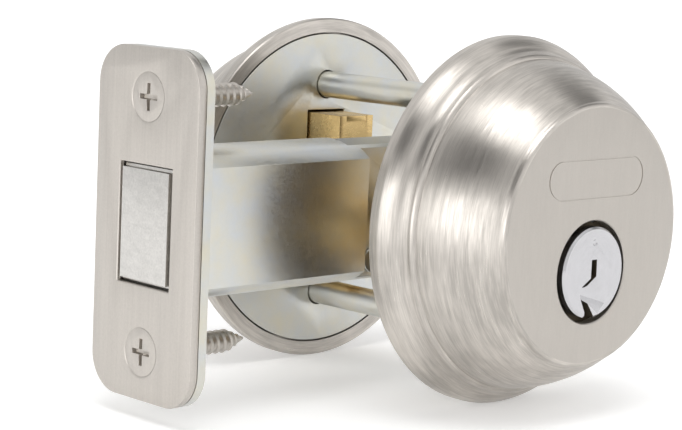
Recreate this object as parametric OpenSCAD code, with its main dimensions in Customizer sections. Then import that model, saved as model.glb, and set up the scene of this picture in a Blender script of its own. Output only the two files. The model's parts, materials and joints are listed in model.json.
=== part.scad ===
// Double-cylinder deadbolt, assembled as it sits in a door. The door itself is left out.
// Origin: centre of the outside housing's door face. +Z is up, +Y goes into the door,
// and the bolt throws towards -X.
// Each cylinder is drawn face-on: X right, Y up, Z out of the door, from its door face.

/* [Door] */
// Door thickness, between the two housings
door_t = 44.5; // [42:0.5:52]
// Backset, from the door's edge to the cross bore's centre
backset = 60.3; // [58:0.1:74]
// Diameter of the cross bore that the housings cover
cross_bore_d = 54; // [54:0.5:66]
// Diameter of the edge bore that the bolt case fits
edge_bore_d = 25.4; // [25:0.1:31]

/* [Housing] */
// How far the rim reaches past the cross bore
rim_cover = 4.75; // [4:0.25:6]
// Height of the rim's straight side
rim_h = 1.8; // [1.5:0.1:3]
// Width of the round shoulder from the rim to the hollow
shoulder_w = 1.65; // [1.2:0.05:2.2]
// Height of the shoulder
shoulder_h = 2.8; // [2:0.1:3.2]
// Outward bulge of the shoulder
shoulder_bulge = 0.25; // [0.1:0.05:0.5]
// Width of the hollow between the shoulder and the lip
hollow_w = 1.1; // [0.8:0.05:1.4]
// Height of the hollow
hollow_h = 2.1; // [1.6:0.1:2.6]
// Depth of the hollow's curve
hollow_depth = 0.3; // [0.1:0.02:0.4]
// Width of the round lip from the hollow to the dome
lip_w = 0.8; // [0.5:0.05:1]
// Height of the lip
lip_h = 0.65; // [0.4:0.05:1]
// How far the housing stands off the door
projection = 20.8; // [20.8:0.2:26]
// How much smaller the face's radius is than the rim's
dome_draw = 10.45; // [8:0.05:11]
// Outward bulge of the dome's side
dome_bulge = 0.9; // [0.4:0.1:1.5]
// Bevel round the face
face_edge = 0.8; // [0.4:0.1:1.2]
// Wall thickness of the housing
wall = 2; // [1.6:0.1:2.4]

/* [Cylinder] */
// Diameter of the plug
plug_d = 12.7; // [12:0.1:15.3]
// How far the plug's axis lies below the housing's centre
plug_drop = 6.1; // [5:0.1:7.3]
// How far the plug's head reaches past the plug's side
head_lip = 1.3; // [1:0.1:1.6]
// How far the head stands out of the face
head_proud = 0.5; // [0.3:0.1:1]
// Gap between the head and the hole in the face
head_gap = 1; // [0.6:0.1:1.4]
// Thickness of the head
head_t = 3; // [2.6:0.1:3.4]
// Thickness of the barrel round the plug
barrel_wall = 2.85; // [2:0.05:3.2]
// Length of the cylinder body
body_l = 26.4; // [26:0.1:31.7]
// Width of the pin tower
tower_w = 8.4; // [7:0.1:10]
// Diameter of the pins
pin_d = 2.92; // [2.5:0.01:3.2]
// Distance from pin to pin
pin_pitch = 3.96; // [3.8:0.01:4.2]
// From the body's front to the first pin
first_pin = 6; // [5.5:0.1:7]
// Length of a top pin
top_pin_l = 4.4; // [3.8:0.1:5.2]
// Length of a spring when fitted
spring_l = 8.6; // [7.2:0.1:10.3]
// Width of the keyway's upper slot
keyway_w = 1.3; // [1.1:0.1:1.6]
// Width of the tailpiece blade
blade_w = 5.6; // [4.8:0.1:6]
// Thickness of the tailpiece blade
blade_t = 1.8; // [1.4:0.1:2.2]

/* [Fixings] */
// Diameter of the through bolts
through_d = 4.8; // [4:0.1:5.8]
// Thickness of the inside mounting plate
mounting_plate_t = 1.8; // [1.4:0.1:2]
// Diameter of the set screws
set_screw_d = 3.9; // [3:0.1:4.6]
// Diameter of the screws that hold the cylinder body
body_screw_d = 3.5; // [3:0.1:4]

/* [Bolt] */
// How far the bolt throws
throw = 25.4; // [21:0.1:30.5]
// Angle that the cam turns for a full throw, in degrees
cam_swing = 100; // [90:1:110]
// Thickness of the bolt head
bolt_t = 12.7; // [10.5:0.1:13]
// Height of the bolt head
bolt_h = 19.05; // [16:0.05:19.2]
// Width of the faceplate
faceplate_w = 25.4; // [25.4:0.1:31]
// Height of the faceplate
faceplate_h = 57.2; // [54:0.1:68]
// Corner radius of the faceplate
faceplate_corner = 6.35; // [1:0.05:8]
// Thickness of the faceplate, and of the backplate behind it
plate_t = 1.6; // [1.3:0.1:2]
// Distance between the faceplate's screws
screw_pitch = 41.3; // [38:0.1:46]
// Diameter of the faceplate's screws
screw_d = 4; // [3.5:0.1:4.5]
// Length of the faceplate's screws
screw_l = 22; // [18:0.5:30]
// Radius of the cam's hub
hub_r = 4.2; // [3.8:0.1:4.3]
// Thickness of the cam's arm
arm_t = 3; // [2.4:0.1:3.4]
// Thickness of each link plate of the bolt tail
link_t = 1.8; // [1.4:0.1:2]
// Radius of the cam's pin
cam_pin_r = 1.6; // [1.3:0.1:1.9]
// Wall thickness of the bolt case
case_wall = 1.1; // [0.9:0.1:1.2]

/* [Hidden] */
running_fit = 0.04;     // a turning shaft in its bore, on the radius
pin_fit = 0.05;         // a lock pin in its chamber, on the radius
face_gap = 0.1;         // flat faces that turn past each other
slide_gap = 0.3;        // the bolt in its case
clear_gap = 0.4;        // parts that must not touch
cut = 1;                // how far a cut runs past the surface it opens
curve = 96;             // fineness of a full circle

// Housing
rim_r = cross_bore_d / 2 + rim_cover;
cavity_r = cross_bore_d / 2 - 0.8;
shoulder_top = [rim_r - shoulder_w, rim_h + shoulder_h];
lip_foot = shoulder_top + [-hollow_w, hollow_h];
dome_base = lip_foot + [-lip_w, lip_h];
lip_bulge = 0.12;
face_r = rim_r - dome_draw;
dome_top = [face_r + face_edge, projection - face_edge];
dome_steps = 14;
round_steps = 5;

// Cylinder, heights above the door face
plug_r = plug_d / 2;
head_r = plug_r + head_lip;
face_hole_r = head_r + head_gap;
head_front = projection + head_proud;
plug_front = head_front - head_t;
body_front = plug_front - face_gap;
body_back = body_front - body_l;
barrel_r = plug_r + barrel_wall;
pin_r = pin_d / 2;
chamber_r = pin_r + pin_fit;
pins = 5;
pin_heights = [for (i = [0 : pins - 1]) body_front - first_pin - i * pin_pitch];
key_lift = [0.9, -0.2, 1.3, 0.3, -0.6];     // where each bottom pin's tip rests on a key
shear_dip = pin_r * pin_r / plug_r / 2 + 0.03; // how far a flat pin end sits inside the round plug
strip_t = 1;
strip_w = 5;
driver_foot = plug_r + running_fit + face_gap;
spring_foot = driver_foot + top_pin_l;
strip_foot = spring_foot + spring_l;
tower_top = strip_foot + strip_t;
spring_r = pin_r - 0.1;
spring_wire = 0.4;
guard_r = 1;
guard_l = 7;

// Plug cap and tailpiece, heights above the door face
stub_l = 2.6;
stub_r = plug_r - 1.05;
cap_wall = 1.9;
cap_r = stub_r + cap_wall;
disc_t = 1;
cap_lip_t = 0.9;
cap_front = body_back - face_gap;
stub_back = cap_front - stub_l;
disc_back = stub_back - disc_t;
cap_back = disc_back - cap_lip_t;
blade_reach = norm([blade_w, blade_t]) / 2;
cap_pin_r = 0.7;

// Fixings
post_r = through_d / 2 + 1.4;
post_drop = 6;
post_offset = max(tower_top - plug_drop, barrel_r + plug_drop) + clear_gap + post_r;
through_head_r = through_d / 2 + 1.8;
through_head_t = 2.8;
through_bite = 16;
ear_screw_x = barrel_r + 4.4;
ear_r = body_screw_d / 2 + 1.65;
ear_t = 2.5;
ear_back = 5;
body_screw_head_r = body_screw_d / 2 + 1.4;
body_screw_head_t = 2;
body_screw_l = 9;
plate_recess_r = cavity_r + 3;
mounting_plate_r = plate_recess_r - 0.3;
lug_angles = [-125, -55];
lug_face = cavity_r - 1.7;
lug_t = 3;
lug_w = 7;
set_screw_h = lip_foot[1];
lug_top = set_screw_h + set_screw_d / 2 + 0.75;
set_screw_l = 3.6;

// Bolt, in the door's frame
mid_y = door_t / 2;
edge_x = -backset;
hub_z = -plug_drop;
arm_r = throw / (2 * sin(cam_swing / 2));
pin_end_z = hub_z + arm_r * cos(cam_swing / 2);
pin_top_z = hub_z + arm_r;
pin_slip = 0.06 * arm_r;            // play that lets the arm swing while the bolt slides evenly
slot_r = cam_pin_r + pin_slip;
ear_wall = 2.2;
case_r = edge_bore_d / 2 - 0.15;
inner_r = case_r - case_wall;
bolt_room = [bolt_t / 2 + slide_gap, bolt_h / 2 + slide_gap];
case_half_t = bolt_room[0] + 1.25;
link_out = arm_t / 2 + slide_gap + link_t;
cam_room = link_out + 2 * clear_gap;
cam_half_t = cam_room + case_wall;
hub_half_l = cam_half_t + 0.5;
neck_x = -(throw / 2 + slot_r + ear_wall + 1.5);
head_back_x = neck_x - 1.3;
case_front_x = edge_x + 2 * plate_t;
case_pocket = 0.4;
case_inner_x = throw / 2 + slot_r + ear_wall + 0.5;
case_back_x = case_inner_x + 1.2;
link_foot = hub_z + hub_r + 2.3;
link_top = bolt_h / 2 - 1.1;
link_bite = 9;
roller_r = 3.2;
roller_l = 24;
tail_rivet_r = 1.5;
rivet_r = 1.3;
rivet_head_r = 2.3;
rivet_head_t = 0.7;
rivet_x = 14;
rivet_z = -(inner_r - 3.1);
slot_l_t = blade_t + 0.3;
slot_l_w = blade_w + 0.3;
recess_r = blade_reach + 0.4;
cam_web = 1.6;
detent_t = 0.4;
detent_w = 6;
detent_l = 24;

// ---- placing ----

// From face-on drawing to the outside of the door
module outside() { rotate([90, 0, 0]) children(); }

// From face-on drawing to the inside of the door
module inside() { translate([0, door_t, 0]) rotate([0, 0, 180]) rotate([90, 0, 0]) children(); }

// To the plug's axis, in face-on drawing
module on_plug_axis() { translate([0, -plug_drop, 0]) children(); }

// A flat shape in the door's XZ plane, given thickness along Y between two planes
module across(y0, y1) {
    translate([0, y1, 0]) rotate([90, 0, 0]) linear_extrude(y1 - y0) children();
}

// A flat shape drawn with Y and Z of the door, given length along X
module along_x(x0, x1) {
    translate([x0, mid_y, 0]) rotate([90, 0, 90]) linear_extrude(x1 - x0) children();
}

// A cylinder along the door's Y axis
module pin_y(r, y0, y1) {
    translate([0, y1, 0]) rotate([90, 0, 0]) cylinder(r = r, h = y1 - y0, $fn = curve);
}

// A cylinder between two heights
module rod(r, h0, h1) { translate([0, 0, h0]) cylinder(r = r, h = h1 - h0, $fn = curve); }

// ---- housing ----

// Points on an arc from p up to, but without, q. It bulges right of the way there, or left if bulge < 0.
function arc_points(p, q, bulge, steps) =
    let (way = q - p, chord = norm(way), r = (chord * chord / 4 + bulge * bulge) / (2 * bulge),
         out = [way[1], -way[0]] / chord, centre = (p + q) / 2 - out * (r - bulge),
         half = asin(chord / 2 / r), middle = atan2(out[1], out[0]))
    [for (i = [0 : steps - 1]) let (a = middle + half * (2 * i / steps - 1)) centre + r * [cos(a), sin(a)]];

// The housing's outer form, drawn in by inset on every side
module housing_form(inset = 0) {
    in = [inset, inset];
    rotate_extrude($fn = curve) polygon(concat(
        [[0, 0], [rim_r - inset, 0]],
        arc_points([rim_r, rim_h] - in, shoulder_top - in, shoulder_bulge, round_steps),
        arc_points(shoulder_top - in, lip_foot - in, -hollow_depth, round_steps),
        arc_points(lip_foot - in, dome_base - in, lip_bulge, round_steps),
        arc_points(dome_base - in, dome_top - in, dome_bulge, dome_steps),
        [dome_top - in, [face_r, projection] - in, [0, projection - inset]]));
}

// The room inside the housing
module housing_room() {
    top = dome_top - [wall, wall - face_edge];
    rotate_extrude($fn = curve) polygon(concat(
        [[0, -cut], [cavity_r, -cut]],
        arc_points([cavity_r, dome_base[1]], top, dome_bulge, dome_steps),
        [top, [0, top[1]]]));
}

// One of the two places across the centre, above and below
module above_and_below(d) { for (s = [-1, 1]) translate([0, s * d, 0]) children(); }

// One of the two places on each side of the plug's axis
module beside(d) { for (s = [-1, 1]) translate([s * d, 0, 0]) children(); }

// Set screws and their bosses lie along these rays
module at_lugs() {
    for (a = lug_angles) rotate([0, 0, a]) translate([0, 0, set_screw_h]) rotate([0, 90, 0]) children();
}

module housing(is_inside) {
    color("silver") difference() {
        union() {
            difference() { housing_form(); housing_room(); }
            intersection() {
                housing_form(wall / 4);
                union() {
                    on_plug_axis() beside(ear_screw_x) rod(ear_r, ear_back + ear_t, projection);
                    if (is_inside) at_lugs() rod(set_screw_d / 2 + 1.3, lug_face + clear_gap, rim_r);
                    else above_and_below(post_offset) rod(post_r, 0, projection);
                }
            }
            if (!is_inside) above_and_below(post_offset) rod(post_r, -post_drop, cut);
        }
        on_plug_axis() rod(face_hole_r, projection - wall - cut, projection + cut);
        on_plug_axis() beside(ear_screw_x) rod(body_screw_d / 2, 0, ear_back + body_screw_l + 0.5);
        if (is_inside) {
            rod(plate_recess_r, -cut, mounting_plate_t + 0.2);
            at_lugs() rod(set_screw_d / 2, cut, rim_r);
        } else {
            above_and_below(post_offset)
                rod(through_d / 2, -post_drop - cut, through_bite - post_drop + 0.5);
        }
    }
}

// ---- cylinder ----

module cylinder_body() {
    color("goldenrod") difference() {
        union() {
            on_plug_axis() rod(barrel_r, body_back, body_front);
            on_plug_axis() translate([-tower_w / 2, 0, body_back]) cube([tower_w, tower_top, body_l]);
            on_plug_axis() translate([0, 0, ear_back]) linear_extrude(ear_t) {
                square([2 * ear_screw_x, 2 * ear_r], center = true);
                beside(ear_screw_x) circle(ear_r, $fn = curve);
            }
        }
        on_plug_axis() {
            rod(plug_r + running_fit, body_back - cut, body_front + cut);
            for (h = pin_heights) translate([0, 0, h]) rotate([-90, 0, 0]) rod(chamber_r, 0, tower_top);
            translate([-strip_w / 2, strip_foot, body_back - cut])
                cube([strip_w, strip_t + cut, body_l + 2 * cut]);
            beside(ear_screw_x) rod(body_screw_d / 2 + 0.2, ear_back - cut, ear_back + ear_t + cut);
            guard_place() rod(guard_r, body_front - guard_l, body_front + cut);
        }
    }
}

module guard_place() { translate([0, plug_r + 2.4, 0]) beside(chamber_r + guard_r + 0.4) children(); }

module drill_guards() {
    color("dimgray") on_plug_axis() guard_place() rod(guard_r, body_front - guard_l, body_front - 0.1);
}

module cylinder_screws() {
    color("gray") on_plug_axis() beside(ear_screw_x) difference() {
        union() {
            rod(body_screw_d / 2, ear_back - 0.5, ear_back + body_screw_l);
            rod(body_screw_head_r, ear_back - body_screw_head_t, ear_back);
        }
        translate([0, 0, ear_back - body_screw_head_t - cut]) cylinder(r = 1.3, h = 1.1 + cut, $fn = 6);
    }
}

// The keyway's outline round the plug's axis
module keyway_outline() {
    w = keyway_w / 2;
    polygon([[-w, 2.2], [w, 2.2], [w + 0.1, -0.65], [-1.9, -2.3], [-2.35, -3.4], [1.3, -plug_r - 2],
             [-1.9, -plug_r - 2], [-1.8, -6.5], [-3.25, -3.7], [-2.75, -2.15], [-w, -0.9]]);
}

// The milled guide that leads a key in, on the head's face
module key_guide() {
    hull() {
        translate([0, 0, head_front + 0.05]) linear_extrude(0.3)
            polygon([[-2.2, -2.35], [0.9, -0.95], [3.1, -2.3], [3.4, -5.4], [1.7, -7.1], [-2.9, -3.8]]);
        translate([-2.9, -3.3, head_front - 1.9]) cylinder(r = 0.1, h = 0.1, $fn = 8);
    }
}

module plug() {
    bevel = 0.35;
    color("lightgray") on_plug_axis() difference() {
        union() {
            rod(head_r, plug_front, head_front - bevel);
            translate([0, 0, head_front - bevel])
                cylinder(r1 = head_r, r2 = head_r - bevel, h = bevel, $fn = curve);
            rod(plug_r, body_back, plug_front + 0.01);
            rod(stub_r, stub_back, body_back + 0.01);
        }
        for (h = pin_heights) translate([0, 0, h]) rotate([-90, 0, 0]) rod(chamber_r, -1.2, plug_r + cut);
        translate([0, 0, body_back + 1.5]) linear_extrude(head_front - body_back) keyway_outline();
        key_guide();
        // a plain index dimple above the keyway
        translate([0, head_r - 2.6, head_front - 0.2]) cylinder(r1 = 0.35, r2 = 0.75, h = 0.3, $fn = curve);
        translate([0, stub_r, 0]) rod(cap_pin_r, stub_back - cut, body_back - face_gap);
    }
}

module bottom_pins() {
    color("gold") on_plug_axis() for (i = [0 : pins - 1])
        translate([0, 0, pin_heights[i]]) rotate([-90, 0, 0]) {
            rod(pin_r, key_lift[i] + pin_r / 2, plug_r - shear_dip);
            translate([0, 0, key_lift[i]]) cylinder(r1 = pin_r / 2, r2 = pin_r, h = pin_r / 2, $fn = curve);
        }
}

module top_pins() {
    color("gold") on_plug_axis() for (h = pin_heights)
        translate([0, 0, h]) rotate([-90, 0, 0]) rod(pin_r, driver_foot, spring_foot);
}

module pin_springs() {
    color("lightsteelblue") on_plug_axis() for (h = pin_heights)
        translate([0, 0, h]) rotate([-90, 0, 0]) difference() {
            rod(spring_r, spring_foot, strip_foot);
            rod(spring_r - spring_wire, spring_foot - cut, strip_foot + cut);
        }
}

module chamber_strip() {
    color("goldenrod") on_plug_axis()
        translate([-strip_w / 2, strip_foot, body_back]) cube([strip_w, strip_t, body_l]);
}

module plug_cap() {
    color("darkkhaki") on_plug_axis() difference() {
        rod(cap_r, cap_back, cap_front);
        rod(stub_r, disc_back, cap_front + cut);
        rod(blade_reach + 0.3, cap_back - cut, disc_back + cut);
        translate([0, stub_r, 0]) rod(cap_pin_r, stub_back, cap_front + cut);
        for (a = [90 : 90 : 270]) rotate([0, 0, a]) translate([cap_r, 0, 0])
            rod(0.8, cap_back - cut, cap_front + cut);
    }
}

module cap_pin() {
    color("dimgray") on_plug_axis() translate([0, stub_r, 0]) rod(cap_pin_r, stub_back, cap_front);
}

// The blade runs from the cap to a tip at the given height
module tailpiece(tip) {
    color("gray") on_plug_axis() {
        rod(stub_r - 0.2, disc_back, stub_back);
        translate([-blade_t / 2, -blade_w / 2, tip]) cube([blade_t, blade_w, disc_back - tip + 0.01]);
    }
}

// ---- fixings ----

module mounting_plate() {
    color("gray") difference() {
        union() {
            rod(mounting_plate_r, 0, mounting_plate_t);
            for (a = lug_angles) rotate([0, 0, a])
                translate([lug_face - lug_t, -lug_w / 2, 0]) cube([lug_t, lug_w, lug_top]);
        }
        on_plug_axis() rod(barrel_r + clear_gap, -cut, mounting_plate_t + cut);
        translate([-tower_w / 2 - clear_gap, -plug_drop, -cut])
            cube([tower_w + 2 * clear_gap, tower_top + clear_gap, mounting_plate_t + 2 * cut]);
        above_and_below(post_offset) rod(through_d / 2 + 0.25, -cut, mounting_plate_t + cut);
        at_lugs() translate([0, 0, lug_face - 0.5]) cylinder(r1 = 0.2, r2 = 1, h = 0.6, $fn = curve);
    }
}

module set_screws() {
    color("dimgray") at_lugs() difference() {
        union() {
            rod(set_screw_d / 2, lug_face + 0.6, lug_face + set_screw_l);
            translate([0, 0, lug_face]) cylinder(r1 = 1.2, r2 = set_screw_d / 2, h = 0.6, $fn = curve);
        }
        translate([0, 0, lug_face + set_screw_l - 1.6]) cylinder(r = 1, h = 1.6 + cut, $fn = 6);
    }
}

module through_bolts() {
    seat = mounting_plate_t;
    end = -door_t + post_drop - through_bite;
    color("silver") above_and_below(post_offset) difference() {
        union() {
            rod(through_d / 2, end, seat + 0.5);
            rod(through_head_r, seat, seat + through_head_t - 0.6);
            translate([0, 0, seat + through_head_t - 0.6])
                cylinder(r1 = through_head_r, r2 = through_head_r - 1, h = 0.6, $fn = curve);
        }
        for (a = [0, 90]) rotate([0, 0, a])
            translate([-2, -0.45, seat + through_head_t - 1.4]) cube([4, 0.9, 1.4 + cut]);
    }
}

// ---- bolt ----

module plate_outline() {
    c = faceplate_corner;
    square([faceplate_w - 2 * c, faceplate_h], center = true);
    square([faceplate_w, faceplate_h - 2 * c], center = true);
    for (x = [-1, 1], z = [-1, 1])
        translate([x * (faceplate_w / 2 - c), z * (faceplate_h / 2 - c)]) circle(c, $fn = curve);
}

module plate_with_opening() { difference() { plate_outline(); square(2 * bolt_room, center = true); } }

// The faceplate's screws lie along X, from the plate's outer face
module at_faceplate_screws() {
    for (s = [-1, 1]) translate([edge_x, mid_y, s * screw_pitch / 2]) rotate([0, 90, 0]) children();
}

// A countersink for a head of twice the screw's diameter, widened by a gap
module countersink(gap) {
    head = screw_d + gap;
    translate([0, 0, -0.01])
        cylinder(r1 = head + 0.01, r2 = screw_d / 2, h = head - screw_d / 2 + 0.01, $fn = curve);
}

module screw_hole() {
    countersink(0.1);
    rod(screw_d / 2 + 0.2, -cut, 2 * plate_t + cut);
}

module faceplate() {
    color("silver") difference() {
        along_x(edge_x, edge_x + plate_t) plate_with_opening();
        at_faceplate_screws() screw_hole();
    }
}

module backplate() {
    color("gray") difference() {
        along_x(edge_x + plate_t, case_front_x) plate_with_opening();
        at_faceplate_screws() screw_hole();
        // a shallow pocket that the case's end sits in
        along_x(case_front_x - case_pocket, case_front_x + cut) offset(0.02) case_section(case_half_t);
    }
}

module faceplate_screws() {
    tip = 4;
    thread_r = screw_d / 2 - 0.3;
    color("silver") at_faceplate_screws() difference() {
        union() {
            translate([0, 0, 0.1]) cylinder(r1 = screw_d, r2 = screw_d / 2, h = screw_d / 2, $fn = curve);
            rod(screw_d / 2, screw_d / 2, 2 * plate_t);
            rod(thread_r, 2 * plate_t, screw_l - tip);
            translate([0, 0, screw_l - tip]) cylinder(r1 = thread_r, r2 = 0.2, h = tip, $fn = curve);
        }
        for (a = [0, 90]) rotate([0, 0, a]) translate([-2.2, -0.4, -cut]) cube([4.4, 0.8, cut + 1.1]);
    }
}

// Outer section of the case, cut to a half thickness
module case_section(half_t) {
    intersection() {
        circle(case_r, $fn = curve);
        square([2 * half_t, 2 * case_r + cut], center = true);
    }
}

// The whole case, split later at the bolt's middle plane
module case_form() {
    difference() {
        union() {
            along_x(case_front_x - case_pocket, neck_x + case_wall) case_section(case_half_t);
            along_x(neck_x, case_back_x) case_section(cam_half_t);
        }
        along_x(case_front_x - cut, neck_x) square(2 * bolt_room, center = true);
        along_x(neck_x - cut, case_inner_x) intersection() {
            translate([-cam_room, -inner_r]) square([2 * cam_room, 2 * case_r]);
            union() {
                circle(inner_r, $fn = curve);
                translate([-cam_room, 0]) square([2 * cam_room, case_r + cut]);
            }
        }
        translate([0, 0, hub_z])
            pin_y(hub_r + running_fit, mid_y - hub_half_l - cut, mid_y + hub_half_l + cut);
        at_rivets() pin_y(rivet_r, mid_y - cam_half_t - cut, mid_y + cam_half_t + cut);
    }
}

module at_rivets() { for (s = [-1, 1]) translate([s * rivet_x, 0, rivet_z]) children(); }

module half_space(side) {
    reach = 2 * backset;
    translate([-reach, side > 0 ? mid_y : mid_y - reach, -reach]) cube([2 * reach, reach, 2 * reach]);
}

module case_half(side) { color("darkgray") intersection() { case_form(); half_space(side); } }

module case_rivets() {
    color("silver") at_rivets() {
        pin_y(rivet_r, mid_y - cam_half_t, mid_y + cam_half_t);
        pin_y(rivet_head_r, mid_y - cam_half_t - rivet_head_t, mid_y - cam_half_t);
        pin_y(rivet_head_r, mid_y + cam_half_t, mid_y + cam_half_t + rivet_head_t);
    }
}

// The two link plates' places across the bolt
module at_links() {
    for (s = [-1, 1]) let (a = mid_y + s * (link_out - link_t), b = mid_y + s * link_out)
        across(min(a, b), max(a, b)) children();
}

module bolt_head() {
    nose = 1;
    color("silver") difference() {
        union() {
            along_x(edge_x + nose, head_back_x) square([bolt_t, bolt_h], center = true);
            along_x(edge_x, edge_x + nose + 0.01) square([bolt_t - nose, bolt_h - nose], center = true);
        }
        translate([head_back_x - link_bite - roller_l, mid_y, 0]) rotate([0, 90, 0])
            rod(roller_r, 0, roller_l + link_bite + cut);
        at_links() translate([head_back_x - link_bite, link_foot])
            square([link_bite + cut, link_top - link_foot]);
        translate([head_back_x - link_bite / 2, 0, (link_foot + link_top) / 2 + 1])
            pin_y(tail_rivet_r, mid_y - bolt_t, mid_y + bolt_t);
    }
}

module bolt_roller() {
    color("dimgray") translate([head_back_x - link_bite - roller_l, mid_y, 0]) rotate([0, 90, 0])
        rod(roller_r - 0.05, 0.2, roller_l - 0.2);
}

module bolt_tail() {
    slot_x = throw / 2;
    ear = slot_r + ear_wall;
    color("gray") difference() {
        at_links() {
            translate([head_back_x - link_bite, link_foot])
                square([slot_x + ear - head_back_x + link_bite, link_top - link_foot]);
            translate([slot_x - ear, link_foot]) square([2 * ear, pin_top_z + cam_pin_r - 0.2 - link_foot]);
        }
        across(mid_y - 2 * link_out, mid_y + 2 * link_out) {
            translate([slot_x, pin_end_z - cam_pin_r - clear_gap + slot_r]) {
                circle(slot_r, $fn = curve);
                translate([-slot_r, 0]) square([2 * slot_r, 2 * arm_r]);
            }
        }
        translate([head_back_x - link_bite / 2, 0, (link_foot + link_top) / 2 + 1])
            pin_y(tail_rivet_r, mid_y - bolt_t, mid_y + bolt_t);
    }
}

module tail_rivet() {
    color("silver") translate([head_back_x - link_bite / 2, 0, (link_foot + link_top) / 2 + 1])
        pin_y(tail_rivet_r, mid_y - bolt_t / 2, mid_y + bolt_t / 2);
}

// Turned from straight up to its place with the bolt drawn back
module at_cam() {
    translate([0, 0, hub_z]) rotate([0, cam_swing / 2, 0]) translate([0, 0, -hub_z]) children();
}

module cam() {
    tip_r = cam_pin_r + 1.3;
    color("goldenrod") difference() {
        union() {
            translate([0, 0, hub_z]) pin_y(hub_r, mid_y - hub_half_l, mid_y + hub_half_l);
            at_cam() across(mid_y - arm_t / 2, mid_y + arm_t / 2) {
                translate([-tip_r * 0.8, hub_z]) square([tip_r * 1.6, arm_r]);
                translate([0, pin_top_z]) circle(tip_r, $fn = curve);
            }
        }
        at_cam() translate([0, 0, pin_top_z]) pin_y(cam_pin_r, mid_y - arm_t, mid_y + arm_t);
        // a flat slot for the outside tailpiece, and a round recess that clears the inside one
        translate([-slot_l_t / 2, mid_y - hub_half_l - cut, hub_z - slot_l_w / 2])
            cube([slot_l_t, hub_half_l + cut - cam_web / 2, slot_l_w]);
        translate([0, 0, hub_z]) pin_y(recess_r, mid_y + cam_web / 2, mid_y + hub_half_l + cut);
    }
}

module cam_pin() {
    color("silver") at_cam() translate([0, 0, pin_top_z])
        pin_y(cam_pin_r, mid_y - link_out - clear_gap, mid_y + link_out + clear_gap);
}

module detent_spring() {
    seat = sqrt(inner_r * inner_r - detent_w * detent_w / 4);
    color("lightsteelblue") translate([-detent_l / 2, mid_y - detent_w / 2, -seat])
        cube([detent_l, detent_w, detent_t]);
}

outside() housing(false);  // outside_housing
outside() cylinder_body();  // outside_cylinder_body
outside() cylinder_screws();  // outside_cylinder_screws
outside() plug();  // outside_plug
outside() bottom_pins();  // outside_bottom_pins
outside() top_pins();  // outside_top_pins
outside() pin_springs();  // outside_pin_springs
outside() chamber_strip();  // outside_chamber_strip
outside() drill_guards();  // outside_drill_guards
outside() plug_cap();  // outside_plug_cap
outside() cap_pin();  // outside_cap_pin
outside() tailpiece(-(mid_y - cam_web / 2 - clear_gap));  // outside_tailpiece
inside() housing(true);  // inside_housing
inside() cylinder_body();  // inside_cylinder_body
inside() cylinder_screws();  // inside_cylinder_screws
inside() plug();  // inside_plug
inside() bottom_pins();  // inside_bottom_pins
inside() top_pins();  // inside_top_pins
inside() pin_springs();  // inside_pin_springs
inside() chamber_strip();  // inside_chamber_strip
inside() drill_guards();  // inside_drill_guards
inside() plug_cap();  // inside_plug_cap
inside() cap_pin();  // inside_cap_pin
inside() tailpiece(-(mid_y - cam_web / 2 - clear_gap));  // inside_tailpiece
inside() mounting_plate();  // inside_mounting_plate
inside() set_screws();  // inside_set_screws
inside() through_bolts();
faceplate();
backplate();
faceplate_screws();
case_half(-1);  // bolt_case_front
case_half(1);  // bolt_case_rear
case_rivets();
bolt_head();
bolt_roller();
bolt_tail();
tail_rivet();
cam();
cam_pin();
detent_spring();
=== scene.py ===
"""Finished look of a double-cylinder deadbolt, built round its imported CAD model.

Laid out as an add-on: property groups hold the sizes and colours, one operator makes each group
of pieces, and a panel lists them. Lengths in the housing and thread code are millimetres, drawn
face-on (X right, Y up, Z out of the door), and go to metres in the lock's frame at the end.
"""
import json
from math import cos, hypot, pi, radians, sin, tau

import bmesh
import bpy
from mathutils import Matrix, Vector

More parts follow.
